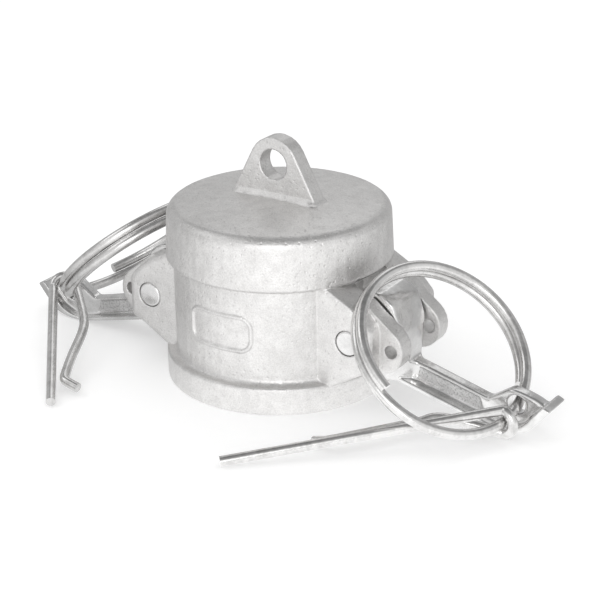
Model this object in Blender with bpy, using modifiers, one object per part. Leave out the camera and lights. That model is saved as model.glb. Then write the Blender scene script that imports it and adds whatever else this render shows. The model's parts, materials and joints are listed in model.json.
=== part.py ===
# Dust cap for a one-inch cam and groove adapter, standing on its mouth.
# A cast cap with a lifting tab, a sealing ring inside, and two cam arms on hinge pins
# between pairs of ears. Each arm carries a split finger ring with a hairpin safety clip.
# Metres, +Z up. The origin is the centre of the closed inner face, the mouth looks down.

import math

import bmesh
import bpy
from mathutils import Matrix, Vector

MM = 0.001

# Clearance left between pieces that touch, and above the table
GAP = 0.3 * MM
REST_GAP = 0.1 * MM

# Cap and barrel, heights measured up from the mouth rim
WALL = 4.7 * MM
TOP_WALL = 4.2 * MM
COLLAR_STEP = 2.2 * MM
COLLAR_HEIGHT = 6.3 * MM
COLLAR_FILLET = 1.2 * MM
HEAD_STEP = 1.7 * MM
HEAD_HEIGHT = 12.0 * MM
HEAD_DRAFT = 0.4 * MM
HEAD_ROUND = 2.6 * MM
DOME_RISE = 1.2 * MM
EDGE_ROUND = 0.6 * MM

# Bore for the adapter, and the groove of the sealing ring
BORE_RADIUS = 18.6 * MM
MOUTH_CHAMFER = 1.0 * MM
CAVITY_DEPTH = 35.5 * MM
GROOVE_DEPTH = 1.55 * MM
SEAT_STEP = 0.6 * MM
SEAL_THICKNESS = 6.1 * MM
SEAL_WIDTH = 6.65 * MM
SEAL_ROUND = 0.5 * MM

# Ears: a thick root with a thinner lobe that holds the clip
PIVOT_OFFSET = 2.5 * MM
PIVOT_BELOW_HEAD = 10.9 * MM
SLOT_HALF_WIDTH = 6.1 * MM
EAR_THICKNESS = 8.0 * MM
LOBE_THICKNESS = 3.9 * MM
EAR_REACH = 5.6 * MM
EAR_ROUND = 1.2 * MM
EAR_TOP_INSET = 2.8 * MM
EAR_SLOPE_REACH = 0.6 * MM
EAR_SLOPE_RISE = 8.3 * MM
EAR_CORNER_INSET = 2.1 * MM
EAR_CORNER_RISE = 5.8 * MM
EAR_EDGE_RISE = 3.5 * MM
EAR_EDGE_DROP = 6.4 * MM
EAR_HEEL_INSET = 2.0 * MM
EAR_HEEL_DROP = 6.6 * MM
EAR_FOOT_INSET = 2.2 * MM
EAR_FOOT_DROP = 1.1 * MM
LOBE_REACH = 5.7 * MM
LOBE_DROP = 1.7 * MM
LOBE_RADIUS = 5.3 * MM
LOBE_ROUND = 0.5 * MM
LOBE_BASE_DROP = 7.3 * MM
LOBE_BASE_RISE = 8.0 * MM
LOBE_TOP_REACH = 2.0 * MM
LOBE_SLOPE_REACH = 4.9 * MM
LOBE_SLOPE_RISE = 5.6 * MM
LOBE_ARC = (50.0, -83.0)
CLIP_HOLE_REACH = 8.2 * MM
CLIP_HOLE_DROP = 1.6 * MM
WINDOW_BELOW_PIVOT = 9.8 * MM
WINDOW_BELOW_HEAD = 0.7 * MM

# Hinge pins
PIN_RADIUS = 2.6 * MM
PIN_CHAMFER = 0.3 * MM

# Lifting tab on the dome
TAB_THICKNESS = 4.0 * MM
TAB_BASE_HALF_WIDTH = 10.6 * MM
TAB_RADIUS = 6.0 * MM
TAB_HOLE_ABOVE_DOME = 7.3 * MM
TAB_HOLE_RADIUS = 3.45 * MM
TAB_ROUND = 0.7 * MM
TAB_FOOT = 0.9 * MM

# Raised frame on the barrel, bare inside
FRAME_CENTRE_ANGLE = -91.0
FRAME_WIDTH = 15.4 * MM
FRAME_HEIGHT = 7.7 * MM
FRAME_ABOVE_PIVOT = 0.65 * MM
FRAME_CORNER = 2.6 * MM
FRAME_WIRE = 0.45 * MM
FRAME_STEP = 1.2 * MM

# Cam arms: a wide cam head, a thin web, and a flange that curls up at the tip
DRUM_RADIUS = 7.4 * MM
CAM_RADIUS = 9.0 * MM
HEAD_SIDE_PLAY = 0.45 * MM
HEEL_DEPTH = 9.4 * MM
HEEL_START = 0.3 * MM
NECK_REACH = 9.9 * MM
NECK_HEEL_INSET = 1.0 * MM
NECK_SHOULDER_INSET = 2.0 * MM
NECK_SHOULDER_HEIGHT = 2.3 * MM
NECK_WIDE_INSET = 3.0 * MM
NECK_NARROW_REACH = 1.2 * MM
CAM_ARC = (62.0, 112.0)
DRUM_ARC = (134.0, 264.0)
WEB_THICKNESS = 3.0 * MM
WEB_TOP = -4.1 * MM
WEB_DIP = 0.2 * MM
WEB_EDGE_ROUND = 0.45 * MM
WEB_RAIL = 0.8 * MM
WEB_PANEL_DEPTH = 0.35 * MM
HUMP_REACH = 6.3 * MM
FLANGE_WIDTH = 7.6 * MM
FLANGE_THICKNESS = 1.0 * MM
FLANGE_START_INSET = 2.3 * MM
LIP_THICKNESS = 1.8 * MM
ARM_LENGTH = 42.5 * MM

# Lip, as offsets from the arm's tip and heel: its outer and inner run
LIP_OUTER = ((-15.2 * MM, 0.0), (-8.6 * MM, 0.55 * MM), (-3.9 * MM, 2.5 * MM),
             (-1.8 * MM, 5.2 * MM), (0.6 * MM, 10.1 * MM))
LIP_INNER = ((-15.2 * MM, FLANGE_THICKNESS), (-9.2 * MM, FLANGE_THICKNESS + 0.2 * MM),
             (-5.2 * MM, 3.5 * MM), (-2.1 * MM - LIP_THICKNESS * 0.8, 6.1 * MM),
             (0.6 * MM - LIP_THICKNESS, 10.5 * MM))

# Hole of the finger ring, and the hump round it as offsets from the hole
WEB_HUMP = ((3.8 * MM, 0.5 * MM), (1.3 * MM, 0.6 * MM), (-1.7 * MM, 0.3 * MM),
            (-2.9 * MM, -0.6 * MM), (-4.9 * MM, -2.8 * MM))
RING_HOLE_REACH = 34.9 * MM
RING_HOLE_DEPTH = 2.6 * MM
RING_HOLE_RADIUS = 2.1 * MM

# Finger rings: round wire wound nearly twice round, and how each one lies
RING_RADIUS = 19.3 * MM
RING_WIRE = 1.0 * MM
RING_PITCH_PLAY = 0.12 * MM
RING_STEPS_PER_TURN = 60
RING_LIE = {
    "right": {"swing": 20.9, "rise": 34.0, "roll": -26.5, "first": -250.0, "last": 342.0},
    "left": {"swing": 23.4, "rise": 37.0, "roll": -21.6, "first": -318.0, "last": 322.0},
}

# Hairpin clips: a straight leg, a bend round the ring wire and a waved leg
CLIP_WIRE = 1.1 * MM
CLIP_BEND_RADIUS = 2.6 * MM
CLIP_BEND_SHIFT = 0.8 * MM
CLIP_WAVE_REACH = 38.9 * MM
CLIP_WAVE_WIDTH = 6.9 * MM
CLIP_WAVE = ((0.29, 1.0), (0.442, 0.99), (0.694, 0.65), (0.856, 0.46),
             (0.925, 0.42), (0.959, 0.57), (1.0, 0.84))
CLIP_LEG_SHARES = (1.0, 0.75, 0.5, 0.25, 0.08)
CLIP_BEND_STEPS = 8
CLIP_LIE = {
    "right": {"place": 20.0, "start": 90.0, "turn": -180.0, "tip": (15.9 * MM, -46.7 * MM),
              "spread": -0.75, "dip": 0.41},
    "left": {"place": -28.0, "start": 0.0, "turn": 180.0, "tip": (31.0 * MM, 43.4 * MM),
             "spread": 1.0, "dip": 0.1},
}

# Facets
TURN_STEPS = 64
HOLE_SIDES = 28
ARC_STEP = 15.0

# Worked-out sizes
BARREL_RADIUS = BORE_RADIUS + WALL
HEAD_TOP = CAVITY_DEPTH + TOP_WALL
HEAD_BASE = HEAD_TOP - HEAD_HEIGHT
PIVOT_REACH = BARREL_RADIUS + PIVOT_OFFSET
PIVOT_HEIGHT = HEAD_BASE - PIVOT_BELOW_HEAD
EAR_OUTER = SLOT_HALF_WIDTH + EAR_THICKNESS
LOBE_OUTER = SLOT_HALF_WIDTH + LOBE_THICKNESS
COLLAR_RADIUS = BARREL_RADIUS + COLLAR_STEP
HEAD_RADIUS = BARREL_RADIUS + HEAD_STEP
DOME_TOP = HEAD_TOP + DOME_RISE
SEAT_HEIGHT = CAVITY_DEPTH + SEAT_STEP
GROOVE_RADIUS = BORE_RADIUS + GROOVE_DEPTH
GROOVE_BASE = SEAT_HEIGHT - SEAL_THICKNESS - 2 * GAP
SEAL_BORE_RADIUS = GROOVE_RADIUS - SEAL_WIDTH
FRAME_CENTRE_HEIGHT = PIVOT_HEIGHT + FRAME_ABOVE_PIVOT
PIN_HOLE_RADIUS = PIN_RADIUS + GAP
CLIP_HOLE_RADIUS = CLIP_WIRE + 1.3 * GAP
CAM_HEAD_HALF_WIDTH = SLOT_HALF_WIDTH - HEAD_SIDE_PLAY
OVERCUT = 2.0 * MM


def clear_scene():
    for item in list(bpy.data.objects):
        bpy.data.objects.remove(item, do_unlink=True)


def new_collection(name):
    collection = bpy.data.collections.new(name)
    bpy.context.scene.collection.children.link(collection)
    return collection


def new_material(name, colour, roughness, metallic):
    material = bpy.data.materials.new(name)
    material.use_nodes = True
    shader = material.node_tree.nodes["Principled BSDF"]
    shader.inputs["Base Color"].default_value = (*colour, 1.0)
    shader.inputs["Roughness"].default_value = roughness
    shader.inputs["Metallic"].default_value = metallic
    return material


def new_empty(name, parent=None, matrix=None):
    empty = bpy.data.objects.new(name, None)
    parts.objects.link(empty)
    empty.parent = parent
    if matrix is not None:
        empty.matrix_local = matrix
    return empty


def place(name, mesh, parent, matrix=None, material=None):
    """An object in the parts, or among the cutters when it has no material."""
    item = bpy.data.objects.new(name, mesh)
    item.parent = parent
    if matrix is not None:
        item.matrix_local = matrix
    if material is None:
        cutters.objects.link(item)
        item.display_type = "WIRE"
        item.hide_render = True
    else:
        parts.objects.link(item)
        mesh.materials.append(material)
    return item


def smooth(item, angle=35.0):
    item.data.shade_smooth()
    item.data.set_sharp_from_angle(angle=math.radians(angle))


def arc(centre, radius, start, end):
    """Points along an arc, with both ends; angles in degrees."""
    count = max(2, math.ceil(abs(end - start) / ARC_STEP))
    turns = [math.radians(start + (end - start) * i / count) for i in range(count + 1)]
    return [(centre[0] + radius * math.cos(t), centre[1] + radius * math.sin(t)) for t in turns]


def flow(points, steps=4):
    """A smooth run through the points (Catmull-Rom), with both ends."""
    ends = [points[0]] + list(points) + [points[-1]]
    run = []
    for i in range(1, len(ends) - 2):
        before, here, there, after = (Vector(ends[i + k]) for k in (-1, 0, 1, 2))
        for step in range(steps):
            t = step / steps
            bend = (there - before) * t
            bend += (before * 2 - here * 5 + there * 4 - after) * t * t
            bend += (here * 3 - before - there * 3 + after) * t * t * t
            run.append(tuple(here + bend / 2))
    return run + [tuple(points[-1])]


def mesh_from_curve(curve):
    """A closed mesh of a curve, with its loose caps welded on."""
    holder = bpy.data.objects.new("outline", curve)
    bpy.context.scene.collection.objects.link(holder)
    bpy.context.view_layer.update()
    ready = holder.evaluated_get(bpy.context.evaluated_depsgraph_get())
    mesh = bpy.data.meshes.new_from_object(ready)
    bpy.data.objects.remove(holder, do_unlink=True)
    work = bmesh.new()
    work.from_mesh(mesh)
    bmesh.ops.remove_doubles(work, verts=work.verts, dist=0.00001)
    bmesh.ops.recalc_face_normals(work, faces=work.faces)
    work.to_mesh(mesh)
    work.free()
    mesh.materials.clear()
    return mesh


def plate_mesh(outline, half_thickness):
    """A flat outline drawn in X and Z, as thick as twice half_thickness along Y."""
    curve = bpy.data.curves.new("plate", "CURVE")
    curve.dimensions = "2D"
    curve.fill_mode = "BOTH"
    curve.extrude = half_thickness
    spline = curve.splines.new("POLY")
    spline.points.add(len(outline) - 1)
    for point, (x, z) in zip(spline.points, outline):
        point.co = (x, z, 0.0, 1.0)
    spline.use_cyclic_u = True
    mesh = mesh_from_curve(curve)
    mesh.transform(Matrix.Rotation(math.radians(90.0), 4, "X"))
    return mesh


def wire_mesh(points, radius, closed=False):
    """A round wire through the points, with flat ends."""
    curve = bpy.data.curves.new("wire", "CURVE")
    curve.dimensions = "3D"
    curve.bevel_depth = radius
    curve.bevel_resolution = 2
    curve.use_fill_caps = not closed
    spline = curve.splines.new("POLY")
    spline.points.add(len(points) - 1)
    for point, place_at in zip(spline.points, points):
        point.co = (*place_at, 1.0)
    spline.use_cyclic_u = closed
    return mesh_from_curve(curve)


def turned_mesh(profile):
    """The open profile that a Screw modifier turns about Z, outer side from top to bottom."""
    mesh = bpy.data.meshes.new("profile")
    edges = [(i, i + 1) for i in range(len(profile) - 1)]
    mesh.from_pydata([(r, 0.0, z) for r, z in profile], edges, [])
    return mesh


def turn(item):
    screw = item.modifiers.new("turn", "SCREW")
    screw.steps = TURN_STEPS
    screw.render_steps = TURN_STEPS
    screw.use_merge_vertices = True
    screw.merge_threshold = 0.00001
    screw.use_smooth_shade = True


def bar_mesh(radius, length, chamfer=0.0):
    """A round bar along Y, centred on the origin."""
    work = bmesh.new()
    bmesh.ops.create_cone(work, cap_ends=True, segments=HOLE_SIDES, radius1=radius,
                          radius2=radius, depth=length,
                          matrix=Matrix.Rotation(math.radians(90.0), 4, "X"))
    if chamfer:
        rims = [edge for edge in work.edges if abs(edge.verts[0].co.y - edge.verts[1].co.y) < chamfer]
        bmesh.ops.bevel(work, geom=rims, offset=chamfer, segments=1, affect="EDGES")
    mesh = bpy.data.meshes.new("bar")
    work.to_mesh(mesh)
    work.free()
    return mesh


def box_mesh(low, high):
    work = bmesh.new()
    size = Vector(high) - Vector(low)
    middle = (Vector(high) + Vector(low)) / 2
    bmesh.ops.create_cube(work, size=1.0, matrix=Matrix.Translation(middle) @ Matrix.Diagonal((*size, 1.0)))
    mesh = bpy.data.meshes.new("box")
    work.to_mesh(mesh)
    work.free()
    return mesh


def round_edges(item, width, segments=2, angle=30.0):
    bevel = item.modifiers.new("round", "BEVEL")
    bevel.width = width
    bevel.segments = segments
    bevel.limit_method = "ANGLE"
    bevel.angle_limit = math.radians(angle)


def combine(item, tool, operation):
    boolean = item.modifiers.new(operation.lower(), "BOOLEAN")
    boolean.operation = operation
    boolean.solver = "EXACT"
    boolean.object = tool


# Cap

def outer_profile():
    """Dome, rounded shoulder, drafted side, step, barrel, fillet and collar down to the mouth."""
    top_radius = HEAD_RADIUS - HEAD_DRAFT
    shoulder = (top_radius - HEAD_ROUND, HEAD_TOP - HEAD_ROUND)
    dome_edge = top_radius - HEAD_ROUND
    dome = [(dome_edge * i / 5, DOME_TOP - DOME_RISE * (i / 5) ** 2) for i in range(5)]
    side = arc(shoulder, HEAD_ROUND, 90.0, 0.0)
    lip = [(HEAD_RADIUS, HEAD_BASE + EDGE_ROUND), (HEAD_RADIUS - EDGE_ROUND, HEAD_BASE)]
    corner = arc((BARREL_RADIUS + EDGE_ROUND, HEAD_BASE - EDGE_ROUND), EDGE_ROUND, 90.0, 180.0)
    sweep = arc((BARREL_RADIUS + COLLAR_FILLET, COLLAR_HEIGHT + COLLAR_FILLET), COLLAR_FILLET, 180.0, 270.0)
    edge = arc((COLLAR_RADIUS - EDGE_ROUND, COLLAR_HEIGHT - EDGE_ROUND), EDGE_ROUND, 90.0, 0.0)
    foot = arc((COLLAR_RADIUS - EDGE_ROUND, EDGE_ROUND), EDGE_ROUND, 0.0, -90.0)
    return dome + side + lip + corner + sweep + edge + foot + [(0.0, 0.0)]


def bore_profile():
    """Closed face, step up to the seat of the sealing ring, its groove, bore and mouth chamfer."""
    face_radius = SEAL_BORE_RADIUS - 2 * GAP
    return [(0.0, CAVITY_DEPTH), (face_radius, CAVITY_DEPTH), (face_radius, SEAT_HEIGHT),
            (GROOVE_RADIUS, SEAT_HEIGHT), (GROOVE_RADIUS, GROOVE_BASE),
            (BORE_RADIUS, GROOVE_BASE), (BORE_RADIUS, MOUTH_CHAMFER),
            (BORE_RADIUS + MOUTH_CHAMFER + OVERCUT, -OVERCUT), (0.0, -OVERCUT)]


def ear_outline():
    """Thick root: sloped top from the head, upright outer edge, sloped underside."""
    outer = PIVOT_REACH + EAR_REACH
    top = HEAD_BASE + EDGE_ROUND
    return [(BARREL_RADIUS / 2, top), (BARREL_RADIUS - EAR_TOP_INSET, top),
            (PIVOT_REACH + EAR_SLOPE_REACH, PIVOT_HEIGHT + EAR_SLOPE_RISE),
            (outer - EAR_CORNER_INSET, PIVOT_HEIGHT + EAR_CORNER_RISE),
            (outer, PIVOT_HEIGHT + EAR_EDGE_RISE), (outer, PIVOT_HEIGHT - EAR_EDGE_DROP),
            (outer - EAR_HEEL_INSET, PIVOT_HEIGHT - EAR_HEEL_DROP),
            (BARREL_RADIUS - EAR_FOOT_INSET, COLLAR_HEIGHT - EAR_FOOT_DROP),
            (BARREL_RADIUS / 2, COLLAR_HEIGHT - EAR_FOOT_DROP)]


def lobe_outline():
    """Thinner lobe past the root, round at its tip."""
    centre = (PIVOT_REACH + LOBE_REACH, PIVOT_HEIGHT - LOBE_DROP)
    return [(BARREL_RADIUS, PIVOT_HEIGHT - LOBE_BASE_DROP), (BARREL_RADIUS, PIVOT_HEIGHT + LOBE_BASE_RISE),
            (PIVOT_REACH + LOBE_TOP_REACH, PIVOT_HEIGHT + LOBE_BASE_RISE),
            (PIVOT_REACH + LOBE_SLOPE_REACH, PIVOT_HEIGHT + LOBE_SLOPE_RISE)] + arc(
                centre, LOBE_RADIUS, *LOBE_ARC)


def frame_path():
    """Rounded rectangle wrapped round the barrel."""
    half_width = FRAME_WIDTH / 2
    half_height = FRAME_HEIGHT / 2
    flat = []
    for sign_x, sign_z, start in ((1, 1, 0.0), (-1, 1, 90.0), (-1, -1, 180.0), (1, -1, 270.0)):
        corner = (sign_x * (half_width - FRAME_CORNER), sign_z * (half_height - FRAME_CORNER))
        flat += arc(corner, FRAME_CORNER, start, start + 90.0)
    dense = []
    for here, there in zip(flat, flat[1:] + flat[:1]):
        pieces = max(1, round(math.dist(here, there) / FRAME_STEP))
        dense += [(here[0] + (there[0] - here[0]) * k / pieces, here[1] + (there[1] - here[1]) * k / pieces)
                  for k in range(pieces)]
    path = []
    for along, up in dense:
        angle = math.radians(FRAME_CENTRE_ANGLE) + along / BARREL_RADIUS
        height = FRAME_CENTRE_HEIGHT + up
        path.append((BARREL_RADIUS * math.cos(angle), BARREL_RADIUS * math.sin(angle), height))
    return path


def tab_outline():
    """Straight flanks from a wide base up to a round top."""
    centre = (0.0, DOME_TOP + TAB_HOLE_ABOVE_DOME)
    base = HEAD_TOP - OVERCUT
    lean = math.atan2(TAB_BASE_HALF_WIDTH, centre[1] - DOME_TOP)
    reach = math.hypot(TAB_BASE_HALF_WIDTH, centre[1] - DOME_TOP)
    touch = 90.0 - math.degrees(lean) - math.degrees(math.acos(TAB_RADIUS / reach))
    top = arc(centre, TAB_RADIUS, -touch, 180.0 + touch)
    return [(TAB_BASE_HALF_WIDTH, base), (TAB_BASE_HALF_WIDTH, DOME_TOP)] + top + [
        (-TAB_BASE_HALF_WIDTH, DOME_TOP), (-TAB_BASE_HALF_WIDTH, base)]


def tab_foot_outline():
    """Low spread of the tab where it meets the dome."""
    wide = TAB_BASE_HALF_WIDTH + TAB_FOOT
    return [(wide, HEAD_TOP - OVERCUT), (wide, DOME_TOP - DOME_RISE / 2 + TAB_FOOT / 4),
            (TAB_BASE_HALF_WIDTH - TAB_FOOT, DOME_TOP + TAB_FOOT),
            (TAB_FOOT - TAB_BASE_HALF_WIDTH, DOME_TOP + TAB_FOOT),
            (-wide, DOME_TOP - DOME_RISE / 2 + TAB_FOOT / 4), (-wide, HEAD_TOP - OVERCUT)]


def make_body():
    body = place("body", turned_mesh(outer_profile()), rim, material=cast_steel)
    turn(body)
    tab = place("tab_block", plate_mesh(tab_outline(), TAB_THICKNESS / 2), rim)
    round_edges(tab, TAB_ROUND)
    foot = place("tab_foot", plate_mesh(tab_foot_outline(), TAB_THICKNESS / 2 + TAB_FOOT), rim)
    round_edges(foot, TAB_FOOT * 0.95, segments=1)
    for block in (tab, foot):
        combine(body, block, "UNION")
    for side, frame in sides.items():
        root = place(f"ear_root_{side}", plate_mesh(ear_outline(), EAR_OUTER), frame)
        round_edges(root, EAR_ROUND)
        lobe = place(f"ear_lobe_{side}", plate_mesh(lobe_outline(), LOBE_OUTER), frame)
        round_edges(lobe, LOBE_ROUND)
        combine(body, root, "UNION")
        combine(body, lobe, "UNION")
    ridge = place("frame_ridge", wire_mesh(frame_path(), FRAME_WIRE, closed=True), rim)
    combine(body, ridge, "UNION")
    bore = place("bore", turned_mesh(bore_profile()), rim)
    turn(bore)
    combine(body, bore, "DIFFERENCE")
    for side, frame in sides.items():
        reach = PIVOT_REACH + LOBE_REACH + LOBE_RADIUS + OVERCUT
        slot = place(f"slot_{side}", box_mesh(
            (SEAL_BORE_RADIUS, -SLOT_HALF_WIDTH, PIVOT_HEIGHT - WINDOW_BELOW_PIVOT),
            (reach, SLOT_HALF_WIDTH, HEAD_BASE - WINDOW_BELOW_HEAD)), frame)
        combine(body, slot, "DIFFERENCE")
        across = 2 * (EAR_OUTER + OVERCUT)
        pin_hole = place(f"pin_hole_{side}", bar_mesh(PIN_HOLE_RADIUS, across), frame,
                         Matrix.Translation((PIVOT_REACH, 0.0, PIVOT_HEIGHT)))
        clip_hole = place(f"clip_hole_{side}", bar_mesh(CLIP_HOLE_RADIUS, across), frame, Matrix.Translation(
            (PIVOT_REACH + CLIP_HOLE_REACH, 0.0, PIVOT_HEIGHT - CLIP_HOLE_DROP)))
        combine(body, pin_hole, "DIFFERENCE")
        combine(body, clip_hole, "DIFFERENCE")
    hole = place("tab_hole", bar_mesh(TAB_HOLE_RADIUS, 4 * TAB_THICKNESS), rim,
                 Matrix.Translation((0.0, 0.0, DOME_TOP + TAB_HOLE_ABOVE_DOME)))
    combine(body, hole, "DIFFERENCE")


def make_seal():
    outer = GROOVE_RADIUS - GAP
    top = SEAT_HEIGHT - GAP
    low = top - SEAL_THICKNESS
    profile = [(SEAL_BORE_RADIUS, top), (outer - SEAL_ROUND, top), (outer, top - SEAL_ROUND),
               (outer, low + SEAL_ROUND), (outer - SEAL_ROUND, low),
               (SEAL_BORE_RADIUS + SEAL_ROUND, low), (SEAL_BORE_RADIUS, low + SEAL_ROUND),
               (SEAL_BORE_RADIUS, top)]
    seal = place("gasket", turned_mesh(profile), rim, material=rubber)
    turn(seal)


# Cam arms, drawn with the pivot at the origin, X along the arm and Z up

def lip_runs():
    """Outer and inner run of the flange, from the flat underside round to the end of the lip."""
    outer, inner = ([(ARM_LENGTH + x, z - HEEL_DEPTH) for x, z in run] for run in (LIP_OUTER, LIP_INNER))
    return flow(outer), flow(inner)


def flange_outline():
    outer, inner = lip_runs()
    start = NECK_REACH - FLANGE_START_INSET
    return [(start, -HEEL_DEPTH)] + outer + inner[::-1] + [(start, -HEEL_DEPTH + FLANGE_THICKNESS)]


def web_outline():
    """Side view of head and web in one: heel, web, hump round the ring hole, neck, cam and drum."""
    inner = lip_runs()[1]
    lift = FLANGE_THICKNESS / 2
    hole = RING_HOLE_REACH
    hump = [(hole + x, z) for x, z in WEB_HUMP] + [(hole - HUMP_REACH, WEB_TOP - WEB_DIP)]
    back = [(x + lift, z - lift / 2) for x, z in inner if x > hole]
    under = [(HEEL_START, -HEEL_DEPTH), (NECK_REACH - NECK_HEEL_INSET, -HEEL_DEPTH),
             (hole, -HEEL_DEPTH + lift * 1.6)]
    neck = [(NECK_REACH, WEB_TOP), (NECK_REACH - NECK_SHOULDER_INSET, NECK_SHOULDER_HEIGHT)]
    cam = arc((0.0, 0.0), CAM_RADIUS, *CAM_ARC)
    drum = arc((0.0, 0.0), DRUM_RADIUS, *DRUM_ARC)
    return under + back[:-1] + flow(hump, 2) + neck + cam + drum


def web_panel_outline():
    """Shallow recess in each side of the web, from the neck to the hump round the ring hole."""
    low = FLANGE_THICKNESS - HEEL_DEPTH + WEB_RAIL / 2
    high = WEB_TOP - WEB_RAIL
    start = NECK_REACH + 2.5 * WEB_RAIL
    end = RING_HOLE_REACH - HUMP_REACH
    return [(start, low), (end, low), (end - 2 * WEB_RAIL, high), (start, high)]


def arm_plan():
    """Half widths from above: the cam head, a slanted neck, then the web. X and Y here."""
    half = CAM_HEAD_HALF_WIDTH
    web = WEB_THICKNESS / 2
    run = [(-2 * CAM_RADIUS, half), (NECK_REACH - NECK_WIDE_INSET, half), (NECK_REACH + NECK_NARROW_REACH, web),
           (ARM_LENGTH + OVERCUT, web)]
    return run + [(x, -y) for x, y in run[::-1]]


def droop_angle():
    """The arm hangs until its lowest point lies just above the table."""
    room = PIVOT_HEIGHT - REST_GAP
    return min(math.asin(room / math.hypot(x, z)) - math.atan2(-z, x)
               for x, z in flange_outline() if z < 0 and math.hypot(x, z) > room)


def make_arm(side, frame):
    lie = Matrix.Translation((PIVOT_REACH, 0.0, PIVOT_HEIGHT)) @ Matrix.Rotation(droop_angle(), 4, "Y")
    hinge = new_empty(f"hinge_{side}", frame, lie)
    arm = place(f"cam_arm_{side}", plate_mesh(web_outline(), CAM_HEAD_HALF_WIDTH + OVERCUT), hinge,
                material=polished_steel)
    plan = plate_mesh(arm_plan(), 2 * CAM_RADIUS)
    plan.transform(Matrix.Rotation(math.radians(-90.0), 4, "X"))
    combine(arm, place(f"arm_plan_{side}", plan, hinge), "INTERSECT")
    round_edges(arm, WEB_EDGE_ROUND)
    flange = place(f"flange_{side}", plate_mesh(flange_outline(), FLANGE_WIDTH / 2), hinge)
    round_edges(flange, WEB_EDGE_ROUND)
    combine(arm, flange, "UNION")
    across = 2 * (EAR_OUTER + OVERCUT)
    pin_hole = place(f"arm_pin_hole_{side}", bar_mesh(PIN_HOLE_RADIUS, across), hinge)
    ring_hole = place(f"ring_hole_{side}", bar_mesh(RING_HOLE_RADIUS, across), hinge,
                      Matrix.Translation((RING_HOLE_REACH, 0.0, -RING_HOLE_DEPTH)))
    notch = place(f"clip_notch_{side}", bar_mesh(CLIP_HOLE_RADIUS, across), hinge,
                  Matrix.Translation((-CLIP_HOLE_DROP, 0.0, -CLIP_HOLE_REACH)))
    panels = [place(f"web_panel_{face}_{side}", plate_mesh(web_panel_outline(), WEB_PANEL_DEPTH), hinge,
                    Matrix.Translation((0.0, across_web, 0.0)))
              for face, across_web in (("front", -WEB_THICKNESS / 2), ("back", WEB_THICKNESS / 2))]
    for tool in (pin_hole, ring_hole, notch, *panels):
        combine(arm, tool, "DIFFERENCE")


def make_pin(side, frame):
    pin = place(f"hinge_pin_{side}", bar_mesh(PIN_RADIUS, 2 * EAR_OUTER, PIN_CHAMFER), frame,
                Matrix.Translation((PIVOT_REACH, 0.0, PIVOT_HEIGHT)), polished_steel)
    smooth(pin)


# Finger rings and clips

def ring_hole_place():
    turned = Matrix.Rotation(droop_angle(), 4, "Y") @ Vector((RING_HOLE_REACH, 0.0, -RING_HOLE_DEPTH))
    return Vector((PIVOT_REACH, 0.0, PIVOT_HEIGHT)) + turned


def ring_matrix(side):
    """Origin in the arm's ring hole, X towards the ring's centre, Y along its wire in the hole."""
    lie = RING_LIE[side]
    swing = Matrix.Rotation(math.radians(180.0 + lie["swing"]), 4, "Z")
    rise = Matrix.Rotation(math.radians(-lie["rise"]), 4, "Y")
    roll = Matrix.Rotation(math.radians(lie["roll"]), 4, "X")
    return Matrix.Translation(ring_hole_place()) @ swing @ rise @ roll


def ring_point(angle):
    """A point of the wound wire, angle in degrees from the arm's hole."""
    pitch = 2 * RING_WIRE + RING_PITCH_PLAY
    turned = math.radians(angle)
    return (RING_RADIUS * (1 - math.cos(turned)), RING_RADIUS * math.sin(turned), -pitch * angle / 360.0)


def make_ring(side, frame):
    lie = RING_LIE[side]
    count = round((lie["last"] - lie["first"]) / 360.0 * RING_STEPS_PER_TURN)
    path = [ring_point(lie["first"] + (lie["last"] - lie["first"]) * i / count) for i in range(count + 1)]
    ring = place(f"finger_ring_{side}", wire_mesh(path, RING_WIRE), frame, ring_matrix(side), spring_steel)
    smooth(ring)


def clip_bend(side):
    """Middle of the bend on the ring wire, and the wire's own direction there."""
    lie = ring_matrix(side)
    angle = CLIP_LIE[side]["place"]
    middle = lie @ Vector(ring_point(angle))
    ahead = lie @ Vector(ring_point(angle + 1.0))
    return middle, (ahead - middle).normalized()


def clip_path(side):
    """Straight leg up from the table, half a turn round the ring wire, then the waved leg."""
    lie = CLIP_LIE[side]
    middle, along_wire = clip_bend(side)
    up = (Vector((0.0, 0.0, 1.0)) - along_wire * along_wire.z).normalized()
    out = up.cross(along_wire)
    out *= 1 if out.x > 0 else -1
    bend = []
    for i in range(CLIP_BEND_STEPS + 1):
        share = i / CLIP_BEND_STEPS
        angle = math.radians(lie["start"] + lie["turn"] * share)
        aside = (out * math.cos(angle) + up * math.sin(angle)) * CLIP_BEND_RADIUS
        bend.append(middle + aside + along_wire * CLIP_BEND_SHIFT * (share - 0.5))
    lowest = CLIP_WIRE + REST_GAP
    tip = Vector((*lie["tip"], lowest))
    root = bend[0]
    heading = (tip - root).normalized()
    across = Vector((-heading.y, heading.x, 0.0)).normalized()
    leg = [root + (tip - root) * share for share in CLIP_LEG_SHARES]
    wave = []
    for along, aside in CLIP_WAVE:
        away = CLIP_WAVE_WIDTH * abs(lie["spread"]) * aside
        point = root + heading * CLIP_WAVE_REACH * along + across * math.copysign(away, lie["spread"])
        point.z = max(lowest + GAP, point.z - away * lie["dip"])
        wave.append(point)
    return leg + bend + wave


def make_clip(side, frame):
    middle = Matrix.Translation(clip_bend(side)[0])
    back = middle.inverted()
    path = flow([tuple(back @ point) for point in clip_path(side)], 3)
    clip = place(f"safety_clip_{side}", wire_mesh(path, CLIP_WIRE), frame, middle, spring_steel)
    smooth(clip)


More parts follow.
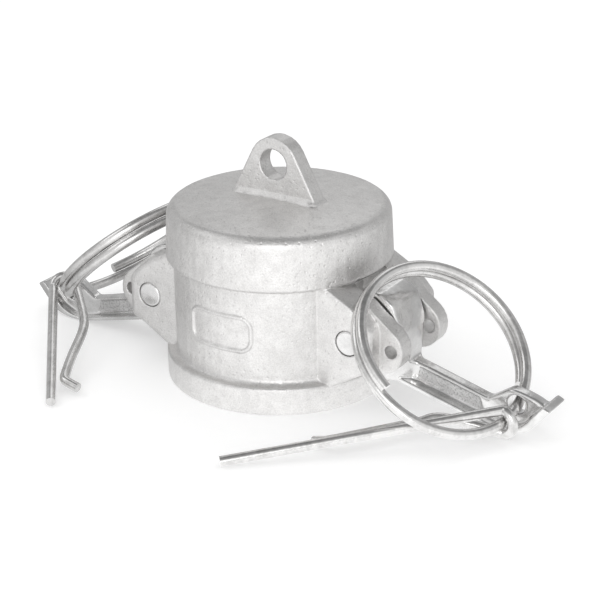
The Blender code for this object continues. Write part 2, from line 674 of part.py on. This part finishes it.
clear_scene()
parts = new_collection("cam and groove dust cap")
cutters = new_collection("cutters")
cast_steel = new_material("cast steel", (0.72, 0.71, 0.69), 0.45, 1.0)
polished_steel = new_material("polished steel", (0.76, 0.75, 0.74), 0.28, 1.0)
spring_steel = new_material("spring steel", (0.74, 0.73, 0.71), 0.22, 1.0)
rubber = new_material("rubber", (0.03, 0.03, 0.03), 0.6, 0.0)

# The mouth rim lies one cavity depth below the origin
rim = new_empty("rim", matrix=Matrix.Translation((0.0, 0.0, -CAVITY_DEPTH)))
sides = {
    "right": new_empty("right_side", rim),
    "left": new_empty("left_side", rim, Matrix.Rotation(math.pi, 4, "Z")),
}
make_body()
make_seal()
for side_name, side_frame in sides.items():
    make_pin(side_name, side_frame)
    make_arm(side_name, side_frame)
    make_ring(side_name, side_frame)
    make_clip(side_name, side_frame)
bpy.context.view_layer.update()
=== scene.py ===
import json
import math

import bpy
from mathutils import Matrix, Vector


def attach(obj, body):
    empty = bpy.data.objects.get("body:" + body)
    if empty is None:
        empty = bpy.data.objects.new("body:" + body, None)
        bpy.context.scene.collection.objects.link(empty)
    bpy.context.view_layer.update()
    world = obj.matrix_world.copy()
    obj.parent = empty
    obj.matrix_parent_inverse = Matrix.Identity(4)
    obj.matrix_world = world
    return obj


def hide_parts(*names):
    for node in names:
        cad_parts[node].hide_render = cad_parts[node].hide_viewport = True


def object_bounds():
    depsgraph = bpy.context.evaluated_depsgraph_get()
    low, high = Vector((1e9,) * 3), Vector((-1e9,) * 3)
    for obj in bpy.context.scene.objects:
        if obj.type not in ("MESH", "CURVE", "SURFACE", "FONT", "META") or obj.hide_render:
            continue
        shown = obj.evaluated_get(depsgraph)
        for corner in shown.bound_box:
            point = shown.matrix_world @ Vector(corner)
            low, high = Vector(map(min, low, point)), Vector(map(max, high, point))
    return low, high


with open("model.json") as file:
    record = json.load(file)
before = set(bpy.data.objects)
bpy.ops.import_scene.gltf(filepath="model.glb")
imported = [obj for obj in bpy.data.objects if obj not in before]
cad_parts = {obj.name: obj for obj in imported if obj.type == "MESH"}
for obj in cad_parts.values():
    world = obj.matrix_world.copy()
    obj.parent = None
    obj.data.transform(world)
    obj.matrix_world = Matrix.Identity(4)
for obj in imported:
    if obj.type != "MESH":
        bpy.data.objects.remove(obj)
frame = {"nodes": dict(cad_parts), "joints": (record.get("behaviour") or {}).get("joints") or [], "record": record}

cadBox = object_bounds()
mm = 0.001
zAxis = Vector((0.0, 0.0, 1.0))
joints = {joint["name"]: joint for joint in frame["joints"]}
sideTurn = {"right": Matrix.Identity(4), "left": Matrix.Rotation(math.pi, 4, "Z")}
print("frame loaded, pieces:", len(frame["nodes"]))


# Shader sockets that read like sums

class Wired:
    def __init__(self, shop, socket):
        self.shop = shop
        self.socket = socket

    def sum(self, operation, first, second):
        return self.shop.add("Math", {"operation": operation}, {0: first, 1: second})

    def __add__(self, other):
        return self.sum("ADD", self, other)

    def __radd__(self, other):
        return self.sum("ADD", other, self)

    def __sub__(self, other):
        return self.sum("SUBTRACT", self, other)

    def __rsub__(self, other):
        return self.sum("SUBTRACT", other, self)

    def __mul__(self, other):
        return self.sum("MULTIPLY", self, other)

    def __rmul__(self, other):
        return self.sum("MULTIPLY", other, self)

    def __gt__(self, other):
        return self.sum("GREATER_THAN", self, other)

    def __lt__(self, other):
        return self.sum("LESS_THAN", self, other)

    def absolute(self):
        return self.sum("ABSOLUTE", self, 0.0)

    def between(self, low, high):  # 0 at low, 1 at high, soft between
        return self.shop.add("MapRange", {"interpolation_type": "SMOOTHSTEP"},
                             {"Value": self, "From Min": low, "From Max": high})

    def swing(self, amount):  # a noise about its middle, so that it adds and takes away alike
        return (self - 0.5) * amount


# A node tree and the nodes that are put in it

class Shop:
    def __init__(self, tree):
        self.tree = tree
        tree.nodes.clear()

    def add(self, kind, settings=None, feeds=None, out=0):
        node = self.tree.nodes.new("ShaderNode" + kind)
        for key, value in (settings or {}).items():
            setattr(node, key, value)
        for key, value in (feeds or {}).items():
            if isinstance(value, Wired):
                self.tree.links.new(value.socket, node.inputs[key])
            else:
                node.inputs[key].default_value = value
        return Wired(self, node.outputs[out])

    def show(self, surface, kind="OutputMaterial"):
        output = self.tree.nodes.new("ShaderNode" + kind)
        self.tree.links.new(surface.socket, output.inputs["Surface"])

    def blend(self, amount, first, second):  # by number, because Mix has several sockets of each name
        return self.add("Mix", {"data_type": "RGBA"}, {0: amount, 6: first, 7: second}, out=2)

    def dot(self, first, second):
        return self.add("VectorMath", {"operation": "DOT_PRODUCT"}, {0: first, 1: second}, out="Value")

    def split(self, vector, axis):
        return self.add("SeparateXYZ", {}, {"Vector": vector}, out=axis)

    def place(self):
        return self.add("TexCoord", out="Object")

    def facing(self):
        return self.add("NewGeometry", out="Normal")

    def rounded(self, radius):
        return self.add("Bevel", {"samples": 6}, {"Radius": radius})

    def noise(self, place, scale, detail, rough):
        return self.add("TexNoise", {}, {"Vector": place, "Scale": scale, "Detail": detail,
                                         "Roughness": rough})

    def bump(self, height, strength, depth, under):
        return self.add("Bump", {}, {"Height": height, "Strength": strength, "Distance": depth,
                                     "Normal": under})


def newFinish(name):
    material = bpy.data.materials.new(name)
    material.use_nodes = True
    return material, Shop(material.node_tree)


def finishOff(shop, feeds):
    shop.show(shop.add("BsdfPrincipled", {}, feeds))


def grey(level, warmth=0.0):
    return (level + warmth, level, level - warmth, 1.0)


# In the finishes below, a noise is (scale, detail, roughness), a bump is (strength, depth),
# and edges are where a mask begins and where it is full

# Blasted casting of the cap

casting = {"dark": 0.67, "light": 0.87, "warmth": 0.008, "rough": 0.44, "toneEdges": (0.34, 0.66),
           "grain": (3200.0, 4.0, 0.7), "grainShare": 0.6, "grainBump": (0.9, 0.05 * mm), "grainRough": 0.25,
           "lumps": (420.0, 3.0, 0.5), "lumpShare": 0.25, "lumpBump": (0.7, 0.16 * mm),
           "clouds": (90.0, 4.0, 0.6), "cloudShare": 0.15,
           "pits": 900.0, "pitEdges": (0.05, 0.32), "pitShade": 0.35, "pitDepth": 0.6,
           "edge": 0.6 * mm, "wearAndHighlightEdges": (0.01, 0.12), "wearAndHighlightShare": 0.5, "wearAndHighlightTone": 0.84,
           "wearAndHighlightWarmth": 0.006, "wornPolish": 0.12}


def castingFinish():
    material, shop = newFinish("cast steel finish")
    place = shop.place()
    rounded = shop.rounded(casting["edge"])
    # the edges, where the rounded normal leans away from the face's own normal; they are made smoother and lighter
    # in colour
    wearAndHighlight = (1.0 - shop.dot(rounded, shop.facing())).between(*casting["wearAndHighlightEdges"])
    grain = shop.noise(place, *casting["grain"])
    lumps = shop.noise(place, *casting["lumps"])
    clouds = shop.noise(place, *casting["clouds"])
    pits = shop.add("TexVoronoi", {}, {"Vector": place, "Scale": casting["pits"], "Randomness": 1.0})
    hollow = 1.0 - pits.between(*casting["pitEdges"])
    mottle = grain * casting["grainShare"] + lumps * casting["lumpShare"] + clouds * casting["cloudShare"]
    tone = mottle.between(*casting["toneEdges"]) * (1.0 - hollow * casting["pitShade"])
    colour = shop.blend(tone, grey(casting["dark"], casting["warmth"]),
                        grey(casting["light"], casting["warmth"]))
    # the edges are blended towards a lighter grey: partly rubbed wear and partly a painted highlight along the
    # edges
    colour = shop.blend(wearAndHighlight * casting["wearAndHighlightShare"], colour, grey(casting["wearAndHighlightTone"], casting["wearAndHighlightWarmth"]))
    low = shop.bump(lumps - hollow * casting["pitDepth"], *casting["lumpBump"], rounded)
    fine = shop.bump(grain, *casting["grainBump"], low)
    rough = casting["rough"] + grain.swing(casting["grainRough"]) - wearAndHighlight * casting["wornPolish"]
    finishOff(shop, {"Base Color": colour, "Metallic": 1.0, "Roughness": rough, "Normal": fine})
    return material


# Tumbled bright casting of the arms and pins, with a blasted floor in the web's recess

tumbled = {"dark": 0.62, "light": 0.86, "speck": 0.36, "warmth": 0.004, "rough": 0.2, "edge": 0.3 * mm,
           "clouds": (140.0, 4.0, 0.6), "toneEdges": (0.3, 0.7), "cloudRough": 0.2,
           "waves": (260.0, 2.0, 0.5), "waveBump": (0.6, 0.25 * mm),
           "grain": (2600.0, 3.0, 0.7), "grainBump": (0.9, 0.1 * mm), "grainOutside": 0.06,
           "speckEdges": (0.38, 0.52), "speckShare": 0.75,
           "recessInner": 0.9 * mm, "recessOuter": 1.3 * mm, "recessFacing": 0.8,
           "recessShade": 0.15, "recessRough": 0.26}


def tumbledFinish():
    material, shop = newFinish("polished steel finish")
    place = shop.place()
    rounded = shop.rounded(tumbled["edge"])
    across = shop.split(place, "Y").absolute()
    sideways = shop.split(shop.facing(), "Y").absolute() > tumbled["recessFacing"]
    recess = (across > tumbled["recessInner"]) * (across < tumbled["recessOuter"]) * sideways
    waves = shop.noise(place, *tumbled["waves"])
    clouds = shop.noise(place, *tumbled["clouds"])
    grain = shop.noise(place, *tumbled["grain"])
    tone = clouds.between(*tumbled["toneEdges"]) * (1.0 - recess * tumbled["recessShade"])
    colour = shop.blend(tone, grey(tumbled["dark"], tumbled["warmth"]),
                        grey(tumbled["light"], tumbled["warmth"]))
    specks = recess * (1.0 - grain.between(*tumbled["speckEdges"]))
    colour = shop.blend(specks * tumbled["speckShare"], colour, grey(tumbled["speck"], tumbled["warmth"]))
    soft = shop.bump(waves, *tumbled["waveBump"], rounded)
    grainy = grain * (tumbled["grainOutside"] + recess * (1.0 - tumbled["grainOutside"]))
    fine = shop.bump(grainy, *tumbled["grainBump"], soft)
    rough = tumbled["rough"] + clouds.swing(tumbled["cloudRough"]) + recess * tumbled["recessRough"]
    finishOff(shop, {"Base Color": colour, "Metallic": 1.0, "Roughness": rough, "Normal": fine})
    return material


# Bright drawn wire of the rings and clips

drawn = {"dark": 0.6, "light": 0.78, "warmth": 0.006, "rough": 0.23, "toneEdges": (0.35, 0.6),
         "scuffs": (700.0, 4.0, 0.65), "scuffShare": 0.5, "scuffBump": (0.2, 0.03 * mm), "scuffRough": 0.14,
         "clouds": (160.0, 3.0, 0.5)}


def drawnFinish():
    material, shop = newFinish("spring steel finish")
    place = shop.place()
    scuffs = shop.noise(place, *drawn["scuffs"])
    clouds = shop.noise(place, *drawn["clouds"])
    mottle = scuffs * drawn["scuffShare"] + clouds * (1.0 - drawn["scuffShare"])
    colour = shop.blend(mottle.between(*drawn["toneEdges"]), grey(drawn["dark"], drawn["warmth"]),
                        grey(drawn["light"], drawn["warmth"]))
    fine = shop.bump(scuffs, *drawn["scuffBump"], shop.facing())
    rough = drawn["rough"] + scuffs.swing(drawn["scuffRough"])
    finishOff(shop, {"Base Color": colour, "Metallic": 1.0, "Roughness": rough, "Normal": fine})
    return material


# Moulded rubber of the sealing ring

moulded = {"tone": 0.022, "bloomTone": 0.06, "rough": 0.62,
           "bloom": (220.0, 4.0, 0.6), "bloomEdges": (0.4, 0.8), "bloomRough": 0.2,
           "grain": (2400.0, 2.0, 0.5), "grainBump": (0.4, 0.03 * mm)}


def mouldedFinish():
    material, shop = newFinish("rubber finish")
    place = shop.place()
    bloom = shop.noise(place, *moulded["bloom"])
    grain = shop.noise(place, *moulded["grain"])
    colour = shop.blend(bloom.between(*moulded["bloomEdges"]), grey(moulded["tone"]),
                        grey(moulded["bloomTone"]))
    fine = shop.bump(grain, *moulded["grainBump"], shop.facing())
    rough = moulded["rough"] + bloom.swing(moulded["bloomRough"])
    finishOff(shop, {"Base Color": colour, "Roughness": rough, "Normal": fine})
    return material


finishes = {"cast_steel": castingFinish(), "polished_steel": tumbledFinish(),
            "spring_steel": drawnFinish(), "rubber": mouldedFinish()}
print("finishes made:", ", ".join(finishes))

for row in frame["record"]["subparts"]:
    mesh = frame["nodes"][row["node"]].data
    mesh.materials.clear()
    mesh.materials.append(finishes[row["material_slot"]])


def standsFor(item, body, node):
    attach(item, body)
    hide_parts(node)


def settle(item):  # keeps the shape that the modifiers give
    bpy.context.view_layer.update()
    shaped = bpy.data.meshes.new_from_object(item.evaluated_get(bpy.context.evaluated_depsgraph_get()))
    item.modifiers.clear()
    item.data = shaped
    shaped.shade_smooth()


# Arms with the soft edges of a tumbled casting, made from the plain ones

skin = {"weld": 0.01 * mm, "voxel": 0.21 * mm, "passes": 12, "pull": 0.5}


def softArm(side):
    mesh = frame["nodes"][f"cam_arm_{side}"].data.copy()
    arm = bpy.data.objects.new(f"arm_skin_{side}", mesh)
    bpy.context.scene.collection.objects.link(arm)
    weld = arm.modifiers.new("weld", "WELD")
    weld.merge_threshold = skin["weld"]
    voxels = arm.modifiers.new("voxels", "REMESH")
    voxels.mode = "VOXEL"
    voxels.voxel_size = skin["voxel"]
    soften = arm.modifiers.new("soften", "SMOOTH")
    soften.iterations = skin["passes"]
    soften.factor = skin["pull"]
    settle(arm)
    standsFor(arm, f"arm_{side}", f"cam_arm_{side}")
    print("arm skin", side, "faces:", len(arm.data.polygons))


# Hinge pins that fill their holes, with rounded ends

pin = {"radius": 2.8 * mm, "length": 28.2 * mm, "sides": 72, "round": 0.5 * mm, "roundSteps": 5,
       "roundAngle": 60.0, "sharpAngle": 40.0}


def roundPin(side):
    bpy.ops.mesh.primitive_cylinder_add(vertices=pin["sides"], radius=pin["radius"], depth=pin["length"])
    bar = bpy.context.object
    bar.name = f"pin_bar_{side}"
    middle = Matrix.Translation(Vector(joints[f"arm_{side}_hinge"]["pos_m"]))
    bar.data.transform(middle @ Matrix.Rotation(math.radians(90.0), 4, "X"))
    rounding = bar.modifiers.new("round", "BEVEL")
    rounding.width = pin["round"]
    rounding.segments = pin["roundSteps"]
    rounding.limit_method = "ANGLE"
    rounding.angle_limit = math.radians(pin["roundAngle"])
    settle(bar)
    bar.data.set_sharp_from_angle(angle=math.radians(pin["sharpAngle"]))
    bar.data.materials.append(finishes["polished_steel"])
    standsFor(bar, "cap", f"hinge_pin_{side}")


for side in sideTurn:
    softArm(side)
    roundPin(side)
print("arms and pins made")


# Round wires in place of the faceted ones

wireRoundness = 6  # the curve's own steps round the wire


def flow(points, steps):  # a smooth run through the points
    ends = [points[0]] + list(points) + [points[-1]]
    run = []
    for i in range(1, len(ends) - 2):
        before, here, there, after = (Vector(ends[i + k]) for k in (-1, 0, 1, 2))
        for step in range(steps):
            t = step / steps
            bend = (there - before) * t
            bend += (before * 2 - here * 5 + there * 4 - after) * t * t
            bend += (here * 3 - before - there * 3 + after) * t * t * t
            run.append(here + bend / 2)
    return run + [Vector(points[-1])]


def roundWire(name, path, radius, body, node):
    curve = bpy.data.curves.new(name, "CURVE")
    curve.dimensions = "3D"
    curve.bevel_depth = radius
    curve.bevel_resolution = wireRoundness
    curve.use_fill_caps = True
    spline = curve.splines.new("POLY")
    spline.points.add(len(path) - 1)
    for point, at in zip(spline.points, path):
        point.co = (*at, 1.0)
    spline.use_smooth = True
    curve.materials.append(finishes["spring_steel"])
    wire = bpy.data.objects.new(name, curve)
    bpy.context.scene.collection.objects.link(wire)
    standsFor(wire, body, node)


# Split rings: each lies back towards the cap from its arm's hole, and first and last are degrees of winding

ring = {"radius": 19.3 * mm, "wire": 1.15 * mm, "play": 0.12 * mm, "stepsPerTurn": 140,
        "right": {"swing": 20.9, "rise": 34.0, "roll": -26.5, "first": -250.0, "last": 342.0},
        "left": {"swing": 23.4, "rise": 37.0, "roll": -21.6, "first": -318.0, "last": 322.0}}


def ringPath(side):
    lie = ring[side]
    hole = sideTurn[side].inverted() @ Vector(joints[f"ring_{side}_swing"]["pos_m"])
    turned = (Matrix.Rotation(math.radians(180.0 + lie["swing"]), 4, "Z")
              @ Matrix.Rotation(math.radians(-lie["rise"]), 4, "Y")
              @ Matrix.Rotation(math.radians(lie["roll"]), 4, "X"))
    matrix = sideTurn[side] @ Matrix.Translation(hole) @ turned
    winding = lie["last"] - lie["first"]
    count = round(winding / 360.0 * ring["stepsPerTurn"])
    pitch = 2 * ring["wire"] + ring["play"]
    path = []
    for i in range(count + 1):
        degrees = lie["first"] + winding * i / count
        t = math.radians(degrees)
        rise = -pitch * degrees / 360.0
        path.append(matrix @ Vector((ring["radius"] * (1 - math.cos(t)), ring["radius"] * math.sin(t), rise)))
    return path


# Hairpin clips: a straight leg, a bend round the ring's wire and a waved leg, whose points are
# (share of the reach, share of the width)

clip = {"wire": 1.1 * mm, "bend": 2.6 * mm, "bendSteps": 16, "shift": 0.8 * mm,
        "reach": 38.9 * mm, "width": 6.9 * mm, "lift": 0.1 * mm, "gap": 0.3 * mm, "smoothSteps": 6,
        "leg": (1.0, 0.75, 0.5, 0.25, 0.08),
        "wave": ((0.29, 1.0), (0.442, 0.99), (0.694, 0.65), (0.856, 0.46), (0.925, 0.42), (0.959, 0.57),
                 (1.0, 0.84)),
        "right": {"start": 90.0, "turn": -180.0, "tip": (15.9 * mm, -46.7 * mm), "spread": -0.75,
                  "dip": 0.41},
        "left": {"start": 0.0, "turn": 180.0, "tip": (31.0 * mm, 43.4 * mm), "spread": 1.0, "dip": 0.1}}


def clipPath(side):
    lie = clip[side]
    back = sideTurn[side].inverted()
    joint = joints[f"clip_{side}_swing"]
    middle = back @ Vector(joint["pos_m"])
    alongWire = -(back.to_3x3() @ Vector(joint["axis"])).normalized()  # the joint's axis runs the other way
    up = (zAxis - alongWire * alongWire.z).normalized()
    out = up.cross(alongWire)
    out *= 1 if out.x > 0 else -1
    bend = []
    for i in range(clip["bendSteps"] + 1):
        share = i / clip["bendSteps"]
        angle = math.radians(lie["start"] + lie["turn"] * share)
        spoke = out * math.cos(angle) + up * math.sin(angle)
        bend.append(middle + spoke * clip["bend"] + alongWire * (clip["shift"] * (share - 0.5)))
    lowest = cadBox[0].z + clip["wire"] + clip["lift"]
    tip = Vector((*lie["tip"], lowest))
    root = bend[0]
    heading = (tip - root).normalized()
    across = Vector((-heading.y, heading.x, 0.0)).normalized()
    leg = [root + (tip - root) * share for share in clip["leg"]]
    wave = []
    for along, aside in clip["wave"]:
        away = clip["width"] * abs(lie["spread"]) * aside
        point = root + heading * clip["reach"] * along + across * math.copysign(away, lie["spread"])
        point.z = max(lowest + clip["gap"], point.z - away * lie["dip"])
        wave.append(point)
    return [sideTurn[side] @ point for point in flow(leg + bend + wave, clip["smoothSteps"])]


for side in sideTurn:
    roundWire(f"ring_wire_{side}", ringPath(side), ring["wire"], f"ring_{side}", f"finger_ring_{side}")
    roundWire(f"clip_wire_{side}", clipPath(side), clip["wire"], f"clip_{side}", f"safety_clip_{side}")
print("rings and clips made")


# Floor, backdrop and light

studio = {"floorSize": 3.0, "floorDrop": 0.02 * mm, "floorTone": 0.8, "floorGlow": 0.3, "fill": 0.85,
          "brightFrom": (0.56, -0.83, 0.0), "brightEdges": (-0.6, 1.0), "shade": 0.5, "bright": 1.0,
          "floorShade": 0.56, "floorBright": 1.3, "ceilingEdges": (0.6, 0.85), "ceilingShade": 0.6}
lamps = {"key": {"azimuth": 30.0, "elevation": 18.0, "away": 0.9, "size": 0.4, "watts": 1.1},
         "side": {"azimuth": -60.0, "elevation": 50.0, "away": 0.8, "size": 0.4, "watts": 0.5},
         "back": {"azimuth": 205.0, "elevation": 48.0, "away": 0.9, "size": 0.5, "watts": 0.5}}


def brightSide(shop, way):  # 1 where the room is bright, in front of the cap, and 0 behind it
    return shop.dot(way, Vector(studio["brightFrom"]).normalized()).between(*studio["brightEdges"])


# In reflections the floor is bright in front and darker behind, and otherwise it is plain paper
def makeFloor():
    height = cadBox[0].z - studio["floorDrop"]
    bpy.ops.mesh.primitive_plane_add(size=studio["floorSize"], location=(0.0, 0.0, height))
    floor = bpy.context.object
    floor.name = "floor"
    material, shop = newFinish("floor paper")
    lit = shop.add("BsdfDiffuse", {}, {"Color": grey(studio["floorTone"])})
    cameraRay = shop.add("LightPath", out="Is Camera Ray")
    glow = shop.add("Emission", {}, {"Color": shop.blend(cameraRay, grey(0.0), grey(studio["floorGlow"]))})
    paper = shop.add("AddShader", {}, {0: lit, 1: glow})
    position = shop.add("NewGeometry", out="Position")
    way = shop.add("VectorMath", {"operation": "NORMALIZE"}, {0: position})
    tone = shop.blend(brightSide(shop, way), grey(studio["floorShade"]), grey(studio["floorBright"]))
    reflected = shop.add("Emission", {}, {"Color": tone})
    glossyRay = shop.add("LightPath", out="Is Glossy Ray")
    shop.show(shop.add("MixShader", {}, {0: glossyRay, 1: paper, 2: reflected}))
    floor.data.materials.append(material)


# The camera sees white, reflections see the room, and all other light is an even fill
def makeWorld():
    world = bpy.data.worlds.new("studio")
    bpy.context.scene.world = world
    world.use_nodes = True
    shop = Shop(world.node_tree)
    way = shop.add("TexCoord", out="Generated")
    ceiling = shop.split(way, "Z").between(*studio["ceilingEdges"])
    room = studio["shade"] + brightSide(shop, way) * (studio["bright"] - studio["shade"])
    room = room * (1.0 - ceiling * studio["ceilingShade"])
    cameraRay = shop.add("LightPath", out="Is Camera Ray")
    glossyRay = shop.add("LightPath", out="Is Glossy Ray")
    light = studio["fill"] * (1.0 - glossyRay) + room * glossyRay
    strength = cameraRay + light * (1.0 - cameraRay)
    shop.show(shop.add("Background", {}, {"Color": grey(1.0), "Strength": strength}), "OutputWorld")


def direction(azimuth, elevation):
    a, e = math.radians(azimuth), math.radians(elevation)
    return Vector((math.sin(a) * math.cos(e), -math.cos(a) * math.cos(e), math.sin(e)))


def makeLamp(name, lamp):
    light = bpy.data.lights.new(name, "AREA")
    light.size = lamp["size"]
    light.energy = lamp["watts"]
    item = bpy.data.objects.new(name, light)
    way = direction(lamp["azimuth"], lamp["elevation"])
    item.location = way * lamp["away"]
    item.rotation_euler = way.to_track_quat("Z", "Y").to_euler()
    bpy.context.scene.collection.objects.link(item)


makeFloor()
makeWorld()
for name, lamp in lamps.items():
    makeLamp(name, lamp)
print("studio lit")


# Camera where the photograph was taken from

camera = {"azimuth": 33.961, "elevation": 22.276, "away": 400.141 * mm, "above": 20.0 * mm,
          "aimRight": 4.217 * mm, "aimUp": -3.693 * mm, "roll": -0.862, "lens": 108.64, "sensor": 36.0}


def makeCamera():
    data = bpy.data.cameras.new("camera")
    data.lens = camera["lens"]
    data.sensor_width = camera["sensor"]
    item = bpy.data.objects.new("camera", data)
    bpy.context.scene.collection.objects.link(item)
    azimuth, roll = math.radians(camera["azimuth"]), math.radians(camera["roll"])
    centre = Vector((0.0, 0.0, cadBox[0].z + camera["above"]))
    out = direction(camera["azimuth"], camera["elevation"])
    right = Vector((math.cos(azimuth), math.sin(azimuth), 0.0))
    eye = centre + out * camera["away"]
    aim = centre + right * camera["aimRight"] + out.cross(right) * camera["aimUp"]
    back = (eye - aim).normalized()
    level = zAxis.cross(back).normalized()
    upright = back.cross(level)
    c, s = math.cos(roll), math.sin(roll)
    item.matrix_world = Matrix.Translation(eye) @ Matrix((
        level * c + upright * s, upright * c - level * s, back)).transposed().to_4x4()
    bpy.context.scene.camera = item


makeCamera()
bpy.context.scene.view_settings.view_transform = "Standard"
print("camera placed")

bpy.context.view_layer.update()
